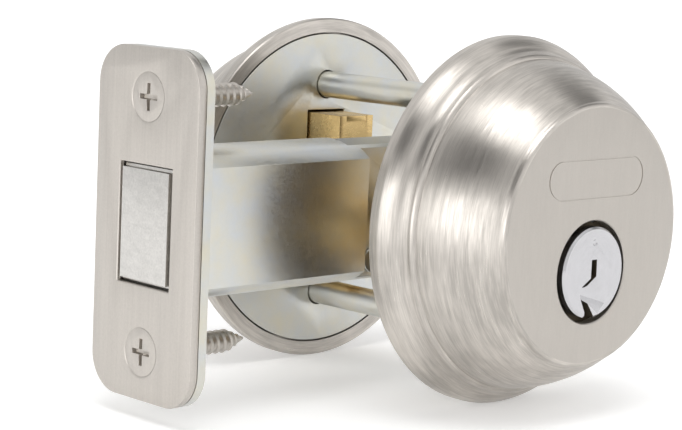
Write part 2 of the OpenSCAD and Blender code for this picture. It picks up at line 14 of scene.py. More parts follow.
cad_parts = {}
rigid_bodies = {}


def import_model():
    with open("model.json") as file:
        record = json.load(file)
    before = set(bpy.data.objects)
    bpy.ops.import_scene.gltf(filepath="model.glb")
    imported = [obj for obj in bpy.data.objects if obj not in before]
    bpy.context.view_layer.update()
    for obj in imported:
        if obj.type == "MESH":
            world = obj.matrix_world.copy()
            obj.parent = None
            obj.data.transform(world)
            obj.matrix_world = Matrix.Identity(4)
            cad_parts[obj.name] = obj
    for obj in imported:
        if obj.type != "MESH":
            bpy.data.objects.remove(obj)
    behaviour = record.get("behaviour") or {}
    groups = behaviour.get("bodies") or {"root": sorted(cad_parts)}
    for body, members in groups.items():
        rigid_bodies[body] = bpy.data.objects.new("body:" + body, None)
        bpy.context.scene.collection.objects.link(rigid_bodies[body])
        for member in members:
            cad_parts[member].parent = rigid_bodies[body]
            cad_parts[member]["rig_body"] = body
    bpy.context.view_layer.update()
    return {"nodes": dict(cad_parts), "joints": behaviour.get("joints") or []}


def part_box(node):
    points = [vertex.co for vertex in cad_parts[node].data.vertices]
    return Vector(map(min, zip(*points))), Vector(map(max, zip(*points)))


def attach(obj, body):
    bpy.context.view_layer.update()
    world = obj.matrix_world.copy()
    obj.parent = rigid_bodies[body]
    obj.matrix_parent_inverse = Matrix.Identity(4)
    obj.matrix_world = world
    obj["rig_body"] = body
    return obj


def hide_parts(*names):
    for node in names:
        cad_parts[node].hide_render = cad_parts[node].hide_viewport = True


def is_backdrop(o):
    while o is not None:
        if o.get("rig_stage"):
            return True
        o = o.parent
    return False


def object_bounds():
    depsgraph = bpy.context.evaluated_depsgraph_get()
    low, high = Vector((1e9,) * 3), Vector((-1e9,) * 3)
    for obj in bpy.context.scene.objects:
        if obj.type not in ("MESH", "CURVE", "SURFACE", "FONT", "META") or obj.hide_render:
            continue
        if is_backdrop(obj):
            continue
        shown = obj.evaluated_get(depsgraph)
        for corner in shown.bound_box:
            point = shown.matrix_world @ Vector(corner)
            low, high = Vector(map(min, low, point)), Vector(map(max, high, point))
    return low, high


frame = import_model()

bl_info = {
    "name": "Double-cylinder deadbolt",
    "version": (1, 0, 0),
    "blender": (4, 5, 0),
    "location": "View3D > Sidebar > Deadbolt",
    "description": "Finishes a keyed deadbolt's housings, plugs, pins, bolt and fixings, with its stage",
    "category": "Object",
}

MM = 0.001
ROUND = 192                      # segments round a housing


# ---------------------------------------------------------------- sizes from the frame

def extent(node, axis):
    low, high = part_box(node)
    return (high[axis] - low[axis]) / MM


def joint(name):
    return next(j for j in frame["joints"] if j["name"] == name)


DOOR_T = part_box("inside_housing")[0][1] / MM
PLUG_DROP = -joint("outside_plug_turn")["pos_m"][2] / MM
OUTSIDE = Matrix.Rotation(pi / 2, 4, "X")
INSIDE = Matrix.Translation((0, DOOR_T, 0)) @ Matrix.Rotation(pi, 4, "Z") @ OUTSIDE
TO_METRES = Matrix.Scale(MM, 4)
SIDES = {"outside": OUTSIDE, "inside": INSIDE}
RIM_R = extent("outside_housing", 0) / 2
PROJECTION = -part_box("outside_housing")[0][1] / MM
HEAD_R = extent("outside_plug", 0) / 2


# ---------------------------------------------------------------- properties

def millimetres(name, description, default):
    return bpy.props.FloatProperty(name=name, description=f"{description}, mm", default=default)


class HousingSizes(bpy.types.PropertyGroup):
    rim_h: millimetres("Rim", "Straight side of the rim", 1.8)
    shoulder_w: millimetres("Shoulder width", "From rim to hollow", 1.65)
    shoulder_h: millimetres("Shoulder height", "Rise of the shoulder", 2.8)
    shoulder_bulge: millimetres("Shoulder bulge", "Outward bulge", 0.25)
    hollow_w: millimetres("Hollow width", "From shoulder to lip", 1.1)
    hollow_h: millimetres("Hollow height", "Height of the hollow", 2.1)
    hollow_depth: millimetres("Hollow depth", "Depth of its curve", 0.3)
    lip_w: millimetres("Lip width", "From hollow to dome", 0.8)
    lip_h: millimetres("Lip height", "Height of the round lip", 0.65)
    dome_draw: millimetres("Draw", "Rim radius less face radius", 10.45)
    dome_bulge: millimetres("Dome bulge", "Outward bulge of the side", 0.9)
    face_edge: millimetres("Face edge", "Round edge of the face", 0.8)
    wall: millimetres("Wall", "Thickness of the shell", 2.0)
    seat_w: millimetres("Seat", "Width of the rim's back, from edge to cavity", 5.55)
    head_gap: millimetres("Hole gap", "Face hole radius less head radius", 1.0)
    plate_t: millimetres("Mounting plate", "Thickness of the plate let into the inside housing", 1.8)
    set_screw_h: millimetres("Set screw height", "Above the seat", 6.7)


class Finish(bpy.types.PropertyGroup):
    nickel: bpy.props.FloatVectorProperty(name="Satin nickel", description="Colour of the plated housings",
                                          subtype="COLOR", default=(0.535, 0.502, 0.463))
    bright: bpy.props.FloatVectorProperty(name="Bright nickel", description="Colour of the plugs",
                                          subtype="COLOR", default=(0.56, 0.555, 0.57))
    brass: bpy.props.FloatVectorProperty(name="Brass", description="Colour of bodies and pins",
                                         subtype="COLOR", default=(0.72, 0.52, 0.24))
    zinc: bpy.props.FloatVectorProperty(name="Zinc plate", description="Colour of pressed steel",
                                        subtype="COLOR", default=(0.60, 0.62, 0.63))
    grain: bpy.props.FloatProperty(name="Grain", description="Strength of the turned grain",
                                   default=1.0, min=0, max=2, subtype="FACTOR")


def sizes():
    return bpy.context.scene.deadbolt_housing


def finish():
    return bpy.context.scene.deadbolt_finish


# ---------------------------------------------------------------- shader node groups

class Tree:
    """A node tree with short calls to add and join nodes."""

    def __init__(self, tree):
        self.tree = tree

    def add(self, kind, inputs=(), **settings):
        node = self.tree.nodes.new(kind)
        for name, value in settings.items():
            setattr(node, name, value)
        for key, value in dict(inputs).items():
            self.feed(node.inputs[key], value)
        return node

    def feed(self, socket, value):
        if isinstance(value, bpy.types.NodeSocket):
            self.tree.links.new(value, socket)
        else:
            socket.default_value = value

    def math(self, operation, a, b=0.0, clamp=False):
        return self.add("ShaderNodeMath", {0: a, 1: b}, operation=operation, use_clamp=clamp).outputs[0]

    def vector(self, operation, a, b=(0.0, 0.0, 0.0)):
        return self.add("ShaderNodeVectorMath", {0: a, 1: b}, operation=operation).outputs[0]

    def ramp(self, value, low, high, out_low=0.0, out_high=1.0, smooth=False):
        kind = "SMOOTHSTEP" if smooth else "LINEAR"
        node = self.add("ShaderNodeMapRange", {0: value, 1: low, 2: high, 3: out_low, 4: out_high},
                        interpolation_type=kind)
        return node.outputs[0]

    def blend(self, factor, a, b, mode="MIX"):
        node = self.add("ShaderNodeMix", data_type="RGBA", blend_type=mode)
        for socket, value in ((node.inputs[0], factor), (node.inputs[6], a), (node.inputs[7], b)):
            self.feed(socket, value)
        return node.outputs[2]

    def noise(self, vector, scale, detail=2.0, rough=0.5, w=None):
        node = self.add("ShaderNodeTexNoise", {"Vector": vector, "Scale": scale, "Detail": detail,
                                               "Roughness": rough},
                        noise_dimensions="3D" if w is None else "4D")
        if w is not None:
            self.feed(node.inputs["W"], w)
        return node.outputs[0]


def new_group(name, inputs, outputs):
    """A shader group with named sockets. inputs maps a name to (kind, default)."""
    tree = bpy.data.node_groups.new(name, "ShaderNodeTree")
    for label, (kind, value) in inputs.items():
        socket = tree.interface.new_socket(label, in_out="INPUT", socket_type=kind)
        if value is not None:
            socket.default_value = value
    for label, kind in outputs.items():
        tree.interface.new_socket(label, in_out="OUTPUT", socket_type=kind)
    t = Tree(tree)
    return t, t.add("NodeGroupInput").outputs, t.add("NodeGroupOutput").inputs


FLOAT, VECTOR = "NodeSocketFloat", "NodeSocketVector"


def turned_grain_group():
    """Fine rings left by turning or by a rotary brush, about an axis along the lock's Y."""
    t, given, out = new_group("Turned grain", {
        "Vector": (VECTOR, None), "Axis Height": (FLOAT, 0.0),
        "Lines": (FLOAT, 4000.0), "Sweep": (FLOAT, 2.0),
    }, {"Height": FLOAT, "Streak": FLOAT})
    axis = t.add("ShaderNodeCombineXYZ", {2: given["Axis Height"]}).outputs[0]
    centred = t.vector("SUBTRACT", given["Vector"], axis)
    part = t.add("ShaderNodeSeparateXYZ", {0: centred}).outputs
    squares = [t.math("MULTIPLY", part[i], part[i]) for i in (0, 2)]
    radius = t.math("SQRT", t.math("ADD", *squares))
    across = t.math("DIVIDE", part[0], radius)
    up = t.math("DIVIDE", part[2], radius)

    def rings(lines, sweep, detail):
        ends = [t.math("MULTIPLY", a, b) for a, b in ((radius, lines), (part[1], lines), (across, sweep))]
        place = t.add("ShaderNodeCombineXYZ", dict(enumerate(ends))).outputs[0]
        return t.noise(place, 1.0, detail, 0.6, w=t.math("MULTIPLY", up, sweep))

    fine = rings(given["Lines"], t.math("MULTIPLY", given["Sweep"], 3.0), 3.0)
    broad = rings(t.math("MULTIPLY", given["Lines"], 0.22), given["Sweep"], 2.0)
    t.feed(out["Height"], t.math("ADD", t.math("MULTIPLY", fine, 0.7), t.math("MULTIPLY", broad, 0.3)))
    t.feed(out["Streak"], t.math("ADD", t.math("MULTIPLY", fine, 0.5), t.math("MULTIPLY", broad, 0.5)))
    return t.tree


def straight_grain_group():
    """Straight brushing. Stretch holds how many lines a metre run along X, Y and Z."""
    t, given, out = new_group("Straight grain", {
        "Vector": (VECTOR, None), "Stretch": (VECTOR, (3000.0, 3000.0, 90.0)),
    }, {"Height": FLOAT, "Streak": FLOAT})
    place = t.vector("MULTIPLY", given["Vector"], given["Stretch"])
    fine = t.noise(place, 1.0, 3.0, 0.65)
    broad = t.noise(t.vector("MULTIPLY", place, (0.2, 0.2, 0.5)), 1.0, 2.0)
    t.feed(out["Height"], fine)
    t.feed(out["Streak"], t.math("ADD", t.math("MULTIPLY", fine, 0.55), t.math("MULTIPLY", broad, 0.45)))
    return t.tree


def handling_group():
    """Soft smears and small specks from handling, from 0 to 1."""
    t, given, out = new_group("Handling", {"Vector": (VECTOR, None)}, {"Smear": FLOAT, "Speck": FLOAT})
    smear = t.noise(given["Vector"], 70.0, 3.0, 0.55)
    speck = t.noise(given["Vector"], 2600.0, 2.0, 0.7)
    t.feed(out["Smear"], t.ramp(smear, 0.38, 0.66))
    t.feed(out["Speck"], t.ramp(speck, 0.3, 0.75))
    return t.tree


def make_groups():
    return {"turned": turned_grain_group(), "straight": straight_grain_group(), "handling": handling_group()}


# ---------------------------------------------------------------- materials

GROUPS = {}


def new_material(name, metallic=1.0):
    """A material with its Principled shader: (material, tree, shader, object coordinates)."""
    material = bpy.data.materials.new(name)
    material.use_nodes = True
    tree = Tree(material.node_tree)
    shader = next(n for n in material.node_tree.nodes if n.type == "BSDF_PRINCIPLED")
    shader.inputs["Metallic"].default_value = metallic
    place = tree.add("ShaderNodeTexCoord").outputs["Object"]
    return material, tree, shader, place


def group(tree, key, **inputs):
    node = tree.add("ShaderNodeGroup", node_tree=GROUPS[key])
    for name, value in inputs.items():
        tree.feed(node.inputs[name.replace("_", " ")], value)
    return node.outputs


def tinted(tree, colour, mask, dark, light):
    """The colour, from dark to light times itself, as the mask goes from 0 to 1."""
    shade = tree.ramp(mask, 0.36, 0.64, dark, light)
    grey = tree.add("ShaderNodeCombineColor", {0: shade, 1: shade, 2: shade}).outputs[0]
    return tree.blend(1.0, (*colour, 1.0), grey, "MULTIPLY")


def relief(tree, shader, height, distance, strength=1.0):
    bump = tree.add("ShaderNodeBump", {"Strength": strength, "Distance": distance, "Height": height})
    tree.feed(shader.inputs["Normal"], bump.outputs[0])


def axial_tangent(tree, place, axis_height):
    """The way round the axis at each point, in world space, for the brushed sheen."""
    centred = tree.vector("SUBTRACT", place, (0.0, 0.0, axis_height))
    way = tree.vector("CROSS_PRODUCT", centred, (0.0, 1.0, 0.0))
    turned = tree.add("ShaderNodeVectorTransform", {0: way}, vector_type="VECTOR", convert_from="OBJECT",
                      convert_to="WORLD")
    return turned.outputs[0]


def turned_metal(name, colour, roughness, axis_height=0.0, lines=4000.0, sweep=2.0, contrast=0.10,
                 depth=0.004, anisotropy=0.75):
    """Metal brushed round an axis along Y at the given height."""
    material, t, shader, place = new_material(name)
    grain = group(t, "turned", Vector=place, Axis_Height=axis_height, Lines=lines, Sweep=sweep)
    wear = group(t, "handling", Vector=place)
    mask = t.math("ADD", t.math("MULTIPLY", grain["Streak"], 0.85), t.math("MULTIPLY", wear["Smear"], 0.15))
    t.feed(shader.inputs["Base Color"], tinted(t, colour, mask, 1 - contrast, 1 + contrast))
    rough = t.math("ADD", t.ramp(grain["Streak"], 0.36, 0.64, roughness + 0.06, roughness - 0.06),
                   t.math("MULTIPLY", wear["Smear"], 0.03))
    t.feed(shader.inputs["Roughness"], rough)
    shader.inputs["Anisotropic"].default_value = anisotropy
    shader.inputs["Anisotropic Rotation"].default_value = 0.25
    t.feed(shader.inputs["Tangent"], axial_tangent(t, place, axis_height))
    relief(t, shader, grain["Height"], depth * MM)
    return material


def brushed_metal(name, colour, roughness, stretch, contrast=0.06, depth=0.003):
    """Metal with straight brushing."""
    material, t, shader, place = new_material(name)
    grain = group(t, "straight", Vector=place, Stretch=stretch)
    wear = group(t, "handling", Vector=place)
    mask = t.math("ADD", t.math("MULTIPLY", grain["Streak"], 0.8), t.math("MULTIPLY", wear["Speck"], 0.2))
    t.feed(shader.inputs["Base Color"], tinted(t, colour, mask, 1 - contrast, 1 + contrast))
    t.feed(shader.inputs["Roughness"], t.ramp(mask, 0.2, 0.8, roughness - 0.04, roughness + 0.05))
    relief(t, shader, grain["Height"], depth * MM)
    return material


def plated_steel(name, colour, tint, roughness):
    """Pressed steel with a thin passivated plate that clouds towards a second tint."""
    material, t, shader, place = new_material(name)
    wear = group(t, "handling", Vector=place)
    cloud = t.noise(place, 140.0, 4.0, 0.6)
    plate = t.blend(t.ramp(cloud, 0.35, 0.7), (*colour, 1.0), (*tint, 1.0))
    t.feed(shader.inputs["Base Color"], plate)
    t.feed(shader.inputs["Roughness"], t.ramp(wear["Speck"], 0.0, 1.0, roughness - 0.05, roughness + 0.10))
    relief(t, shader, wear["Speck"], 0.004 * MM)
    return material


def make_materials():
    look = finish()
    nickel, bright = tuple(look.nickel), tuple(look.bright)
    drop = -PLUG_DROP * MM
    grain = look.grain
    return {
        "dome": turned_metal("satin_nickel_turned", nickel, 0.32, lines=6200.0, sweep=2.6,
                             contrast=0.22 * grain, depth=0.013 * grain),
        "face": brushed_metal("satin_nickel_face", tuple(c * 0.94 for c in nickel), 0.42,
                              (2600.0, 2600.0, 240.0), contrast=0.035, depth=0.002),
        "plate": brushed_metal("satin_nickel_plate", nickel, 0.36, (1800.0, 2800.0, 60.0)),
        "plug": turned_metal("bright_nickel", bright, 0.20, axis_height=drop, lines=5200.0, contrast=0.03,
                             depth=0.0012, anisotropy=0.3),
        "brass": turned_metal("turned_brass", tuple(look.brass), 0.28, axis_height=drop, lines=2400.0,
                              contrast=0.10, depth=0.003, anisotropy=0.4),
        "bolt": brushed_metal("ground_steel", (0.60, 0.585, 0.56), 0.30, (50.0, 2400.0, 2400.0),
                              contrast=0.10),
        "zinc": plated_steel("zinc_plate", tuple(look.zinc), (0.66, 0.63, 0.53), 0.34),
        "hard": plated_steel("black_oxide", (0.055, 0.055, 0.06), (0.09, 0.085, 0.08), 0.40),
        "spring": plated_steel("spring_wire", (0.48, 0.49, 0.52), (0.42, 0.43, 0.46), 0.25),
        "cast": plated_steel("cast_zinc", (0.40, 0.40, 0.395), (0.34, 0.34, 0.335), 0.50),
        # Painted shade: a near-black brass laid on the keyway's inside and on the cylinder body's front round
        # the plug, where shade falls.
        "painted_shade": plated_steel("shade_painted_brass", (0.16, 0.13, 0.09), (0.10, 0.085, 0.065), 0.6),
    }


MATERIALS = {}


# ---------------------------------------------------------------- mesh helpers

def place_piece(name, bm, body, materials, replaces=(), sharp=35.0):
    """Makes a piece that rides on a body, from a bmesh in metres, smooth but for its sharp edges."""
    for face in bm.faces:
        face.smooth = True
    for edge in bm.edges:
        edge.smooth = not (edge.is_manifold and edge.calc_face_angle(0) > radians(sharp))
    mesh = bpy.data.meshes.new(name)
    bm.to_mesh(mesh)
    bm.free()
    piece = bpy.data.objects.new(name, mesh)
    bpy.context.scene.collection.objects.link(piece)
    for key in materials:
        mesh.materials.append(MATERIALS[key])
    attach(piece, body)
    if replaces:
        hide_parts(*replaces)
    return piece


def arc(p, q, bulge, steps):
    """Points on an arc from p up to q, which is left out. A positive bulge is to the right of the way."""
    p, q = Vector(p), Vector(q)
    way = q - p
    chord = way.length
    radius = (chord ** 2 / 4 + bulge ** 2) / (2 * bulge)
    out = Vector((way.y, -way.x)) / chord
    centre = (p + q) / 2 - out * (radius - bulge)
    reach = p - centre
    turn = reach.angle_signed(q - centre) if chord else 0
    return [centre + Matrix.Rotation(-turn * i / steps, 2) @ reach for i in range(steps)]


def draw_line(bm, points):
    """Joins (radius, height) points with edges in the XZ plane, ready to be spun."""
    verts = [bm.verts.new((r, 0, h)) for r, h in points]
    edges = [bm.edges.new(pair) for pair in zip(verts, verts[1:])]
    return verts + edges


def spin_round(bm, points, steps=ROUND):
    bmesh.ops.spin(bm, geom=draw_line(bm, points), cent=(0, 0, 0), axis=(0, 0, 1), angle=tau, steps=steps,
                   use_merge=True)


def ring(bm, radius, centre_y, height, steps=ROUND):
    """A circle of edges across the axis."""
    made = bmesh.ops.create_circle(bm, cap_ends=False, radius=radius, segments=steps,
                                   matrix=Matrix.Translation((0, centre_y, height)))
    return list({e for v in made["verts"] for e in v.link_edges})


def rim_loop(bm, radius, height):
    """The open edges at a given radius and height of a spun shell."""
    return [e for e in bm.edges if e.is_boundary and all(
        abs(v.co.z - height) < 0.01 and abs(hypot(v.co.x, v.co.y) - radius) < 0.01 for v in e.verts)]


def rod(radius, low, high, x=0.0, y=0.0, steps=48):
    """A closed cylinder along the drawing's Z, as a bmesh of its own."""
    bm = bmesh.new()
    place = Matrix.Translation((x, y, (low + high) / 2))
    bmesh.ops.create_cone(bm, cap_ends=True, segments=steps, radius1=radius, radius2=radius, depth=high - low,
                          matrix=place)
    return bm


def combine(bm, tools):
    """Applies (bmesh, operation) tools to a bmesh in order and returns the result."""
    base = bpy.data.objects.new("base", bpy.data.meshes.new("base"))
    bpy.context.scene.collection.objects.link(base)
    bm.to_mesh(base.data)
    bm.free()
    helpers = [base]
    for tool, operation in tools:
        helper = bpy.data.objects.new("tool", bpy.data.meshes.new("tool"))
        bpy.context.scene.collection.objects.link(helper)
        tool.to_mesh(helper.data)
        tool.free()
        helpers.append(helper)
        step = base.modifiers.new("step", "BOOLEAN")
        step.operation = operation
        step.solver = "EXACT"
        step.object = helper
    graph = bpy.context.evaluated_depsgraph_get()
    graph.update()
    result = bmesh.new()
    result.from_mesh(base.evaluated_get(graph).to_mesh())
    for helper in helpers:
        mesh = helper.data
        bpy.data.objects.remove(helper)
        bpy.data.meshes.remove(mesh)
    return result


def machined_copy(node, materials, edge=0.12, sharp=35.0, painted_shade=None, more=None, whole=True):
    """A CAD node's own shape with its edges broken, as machining leaves them, in that node's place.

    The face picker chooses, by a face's middle and normal, the faces that take the second material, a
    near-black brass that paints the shade of hollows.
    more is a bmesh to add to it. whole makes each flat one face, which fails on a ring round an opening.
    """
    source = frame["nodes"][node]
    bm = bmesh.new()
    bm.from_mesh(source.data)
    bmesh.ops.remove_doubles(bm, verts=bm.verts, dist=1e-6)
    if whole:
        bmesh.ops.dissolve_limit(bm, angle_limit=radians(0.3), verts=bm.verts, edges=bm.edges)
    hard = [e for e in bm.edges if e.is_manifold and e.calc_face_angle(0) > radians(30)]
    if edge and hard:
        bmesh.ops.bevel(bm, geom=hard, offset=edge * MM, offset_type="OFFSET", segments=2, profile=0.5,
                        affect="EDGES", clamp_overlap=True, material=-1)
    if painted_shade:
        for face in bm.faces:
            face.material_index = int(painted_shade(face.calc_center_median() / MM, face.normal))
    if more:
        bm = merged([bm, more])
    body = source["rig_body"]
    return place_piece(f"{node}_finished", bm, body, materials, [node], sharp)


# ---------------------------------------------------------------- housings

LIP_BULGE, EDGE_BULGE = 0.12, 0.22    # outward bulge of the lip and of the face's round edge, in mm
SEAT_BREAK, HOLE_BREAK = 0.2, 0.18    # broken edges of the seat and of the face's hole, in mm


def housing_profile(s):
    """(radius, height) points from the back of the face, round the seat, and out to the face's edge."""
    rim_top = (RIM_R, s.rim_h)
    shoulder = (RIM_R - s.shoulder_w, s.rim_h + s.shoulder_h)
    lip = (shoulder[0] - s.hollow_w, shoulder[1] + s.hollow_h)
    base = (lip[0] - s.lip_w, lip[1] + s.lip_h)
    face_r = RIM_R - s.dome_draw
    top = (face_r + s.face_edge, PROJECTION - s.face_edge)
    cavity_r = RIM_R - s.seat_w
    inner_top = (top[0] - s.wall, PROJECTION - s.wall)
    inner = arc((cavity_r, base[1]), inner_top, s.dome_bulge, 20) + [Vector(inner_top)]
    points = list(reversed(inner)) + [Vector((cavity_r, 0))]
    points += [Vector((RIM_R - SEAT_BREAK, 0)), Vector((RIM_R, SEAT_BREAK))]
    points += arc(rim_top, shoulder, s.shoulder_bulge, 12)
    points += arc(shoulder, lip, -s.hollow_depth, 12)
    points += arc(lip, base, LIP_BULGE, 6)
    points += arc(base, top, s.dome_bulge, 40)
    points += arc(top, (face_r, PROJECTION), EDGE_BULGE, 6) + [Vector((face_r, PROJECTION))]
    return points


def face_shell(s):
    """The spun shell with its face, hole and inside."""
    bm = bmesh.new()
    points = housing_profile(s)
    spin_round(bm, points)
    hole_r = HEAD_R + s.head_gap
    back = PROJECTION - s.wall
    loops = [rim_loop(bm, points[-1][0], PROJECTION)]
    loops.append(ring(bm, hole_r + HOLE_BREAK, -PLUG_DROP, PROJECTION))
    loops.append(ring(bm, hole_r, -PLUG_DROP, PROJECTION - HOLE_BREAK))
    loops.append(ring(bm, hole_r, -PLUG_DROP, back))
    loops.append(rim_loop(bm, points[0][0], back))
    for first, second in zip(loops, loops[1:]):
        bmesh.ops.bridge_loops(bm, edges=first + second)
    bmesh.ops.recalc_face_normals(bm, faces=bm.faces)
    return bm


def pill_groove(width, height, centre_y, line, depth):
    """A closed ribbon that cuts a pill-shaped line into the face."""
    bm = bmesh.new()
    half, radius = width / 2 - height / 2, height / 2
    loops = []
    for offset in (-line / 2, line / 2):
        for level in (PROJECTION - depth, PROJECTION + 1):
            verts = []
            for side in (1, -1):
                for i in range(17):
                    a = -pi / 2 + pi * i / 16 + (0 if side > 0 else pi)
                    r = radius + offset
                    verts.append(bm.verts.new((side * half + r * cos(a), centre_y + r * sin(a), level)))
            loops.append([bm.edges.new(pair) for pair in zip(verts, verts[1:] + verts[:1])])
    inner_low, inner_high, outer_low, outer_high = loops
    around = (inner_low, inner_high, outer_high, outer_low, inner_low)
    for first, second in zip(around, around[1:]):
        bmesh.ops.bridge_loops(bm, edges=first + second)
    bmesh.ops.recalc_face_normals(bm, faces=bm.faces)
    return bm


def radial(tool, angle, height):
    """Turns a rod along Z to lie outwards along a ray at the given angle and height."""
    turn = Matrix.Translation((0, 0, height)) @ Matrix.Rotation(radians(angle), 4, "Z")
    turn = turn @ Matrix.Rotation(pi / 2, 4, "Y")
    bmesh.ops.transform(tool, matrix=turn, verts=tool.verts)
    return tool


# Bosses cast inside a housing, as (radius, low, high) in mm
BOLT_HEAD_R, EAR_HEAD_R = 4.2, 3.15    # heads of the through bolts and of the cylinder's screws
EAR_BOSS_R, EAR_BOSS_LOW = 3.4, 7.5
EAR_SCREW = (1.75, 0, 14.5)
POST = (3.8, -6, 16.5)
POST_BORE = (2.4, -7, 10.5)
LUG = (3.25, 24.9, 27.3)
LUG_BORE = (1.95, 20, 33)
LUG_ANGLES = (-125, -55)
PLATE_GAP, PLATE_REST = 0.3, 0.2       # room round the mounting plate and behind it
OUTLINE = (24.0, 6.4, 9.6, 0.28, 0.10)    # width, height, middle, line and depth of the face's outline


def make_housing(side):
    s = sizes()
    post_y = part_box("through_bolts")[1][2] / MM - BOLT_HEAD_R
    ear_x = extent("outside_cylinder_screws", 0) / 2 - EAR_HEAD_R
    front = PROJECTION - s.wall / 2
    tools = [(rod(EAR_BOSS_R, EAR_BOSS_LOW, front, sign * ear_x, -PLUG_DROP), "UNION") for sign in (-1, 1)]
    if side == "outside":
        tools += [(rod(*POST, 0, sign * post_y), "UNION") for sign in (-1, 1)]
        tools += [(rod(*POST_BORE, 0, sign * post_y), "DIFFERENCE") for sign in (-1, 1)]
    else:
        recess_r = extent("inside_mounting_plate", 0) / 2 + PLATE_GAP
        tools += [(rod(recess_r, -1, s.plate_t + PLATE_REST, steps=ROUND), "DIFFERENCE")]
        for angle in LUG_ANGLES:
            tools += [(radial(rod(*LUG), angle, s.set_screw_h), "UNION")]
            tools += [(radial(rod(*LUG_BORE), angle, s.set_screw_h), "DIFFERENCE")]
    tools += [(rod(*EAR_SCREW, sign * ear_x, -PLUG_DROP), "DIFFERENCE") for sign in (-1, 1)]
    tools += [(pill_groove(*OUTLINE), "DIFFERENCE")]
    bm = combine(face_shell(s), tools)
    face_r = RIM_R - s.dome_draw + 0.05
    for face in bm.faces:
        middle = face.calc_center_median()
        face.material_index = int(middle.z > PROJECTION - 0.3 and hypot(middle.x, middle.y) < face_r)
    bmesh.ops.transform(bm, matrix=TO_METRES @ SIDES[side], verts=bm.verts)
    place_piece(f"{side}_housing_shell", bm, "lock", ["dome", "face"], [f"{side}_housing"])


class DEADBOLT_OT_housings(bpy.types.Operator):
    """Spin both cylinder housings, with face, hole, bosses and seat"""
    bl_idname = "deadbolt.housings"
    bl_label = "Housings"

    def execute(self, context):
        for side in SIDES:
            make_housing(side)
        return {"FINISHED"}


# ---------------------------------------------------------------- cylinders

def in_keyway(side):
    """Picks the faces inside a plug, which are neither its outside nor its polished front, to take the
    near-black brass that paints the keyway's shade.
    """
    front = -PROJECTION if side == "outside" else DOOR_T + PROJECTION

    def inside(middle, normal):
        depth = abs(middle.y - front)
        off_axis = hypot(middle.x, middle.z + PLUG_DROP)
        return off_axis < HEAD_R - 1.6 and depth > 1.2 and abs(normal.y) < 0.9
    return inside


class DEADBOLT_OT_plugs(bpy.types.Operator):
    """Finish the plugs with their keyways, and the caps and tailpieces behind them"""
    bl_idname = "deadbolt.plugs"
    bl_label = "Plugs"

    def execute(self, context):
        for side in SIDES:
            # The keyway's inside takes the near-black brass as painted shade.
            machined_copy(f"{side}_plug", ["plug", "painted_shade"], edge=0.07, sharp=12, painted_shade=in_keyway(side))
            machined_copy(f"{side}_plug_cap", ["brass"], edge=0.1)
            machined_copy(f"{side}_tailpiece", ["zinc"], edge=0.12)
            machined_copy(f"{side}_cap_pin", ["hard"], edge=0.1)
        return {"FINISHED"}


WIRE_R, TURNS = 0.2, 8           # of a pin spring, in mm
PINS = 5


def coil(radius, wire, height, turns, foot):
    """A compression spring along Z with closed ends, its foot at the given height."""
    bm = bmesh.new()
    lift = height - 2 * wire
    place = Matrix.Translation((radius, 0, foot + wire)) @ Matrix.Rotation(pi / 2, 4, "X")
    made = bmesh.ops.create_circle(bm, cap_ends=True, radius=wire, segments=8, matrix=place)
    faces = list({f for v in made["verts"] for f in v.link_faces})
    geom = made["verts"] + list({e for v in made["verts"] for e in v.link_edges}) + faces
    steps = int(turns * 16)
    bmesh.ops.spin(bm, geom=geom, cent=(0, 0, 0), axis=(0, 0, 1), dvec=(0, 0, lift / steps),
                   angle=tau * turns, steps=steps, use_duplicate=False)
    bmesh.ops.recalc_face_normals(bm, faces=bm.faces)
    return bm


def merged(parts):
    """Several bmeshes as one."""
    whole = bmesh.new()
    for part in parts:
        mesh = bpy.data.meshes.new("part")
        part.to_mesh(mesh)
        part.free()
        whole.from_mesh(mesh)
        bpy.data.meshes.remove(mesh)
    return whole


def pin_places():
    """Depth of each pin along Y, in metres, read from the outside pins' own solids."""
    low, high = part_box("outside_top_pins")
    radius = (high[0] - low[0]) / 2
    first, last = low[1] + radius, high[1] - radius
    return [first + (last - first) * i / (PINS - 1) for i in range(PINS)]


def make_springs(side):
    low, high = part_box(f"{side}_pin_springs")
    radius = (high[0] - low[0]) / 2 / MM
    springs = []
    for y in pin_places():
        spring = coil(radius - WIRE_R, WIRE_R, (high[2] - low[2]) / MM, TURNS, low[2] / MM)
        place = y / MM if side == "outside" else DOOR_T - y / MM
        bmesh.ops.transform(spring, matrix=TO_METRES @ Matrix.Translation((0, place, 0)), verts=spring.verts)
        springs.append(spring)
    place_piece(f"{side}_spring_coils", merged(springs), "lock", ["spring"],
                [f"{side}_pin_springs"])


class DEADBOLT_OT_pins(bpy.types.Operator):
    """Finish the lock pins and wind their springs"""
    bl_idname = "deadbolt.pins"
    bl_label = "Pins and springs"

    def execute(self, context):
        for side in SIDES:
            machined_copy(f"{side}_bottom_pins", ["brass"], edge=0.08)
            machined_copy(f"{side}_top_pins", ["brass"], edge=0.15)
            make_springs(side)
        return {"FINISHED"}


def at_mouth(side):
    """Picks the cylinder body's front round the plug's head, which takes the near-black brass as painted
    shade: a dark ring where the gap lies in shade.
    """
    front = -PROJECTION if side == "outside" else DOOR_T + PROJECTION
    return lambda middle, normal: abs(middle.y - front) < 4.5 and hypot(middle.x, middle.z + PLUG_DROP) < 10


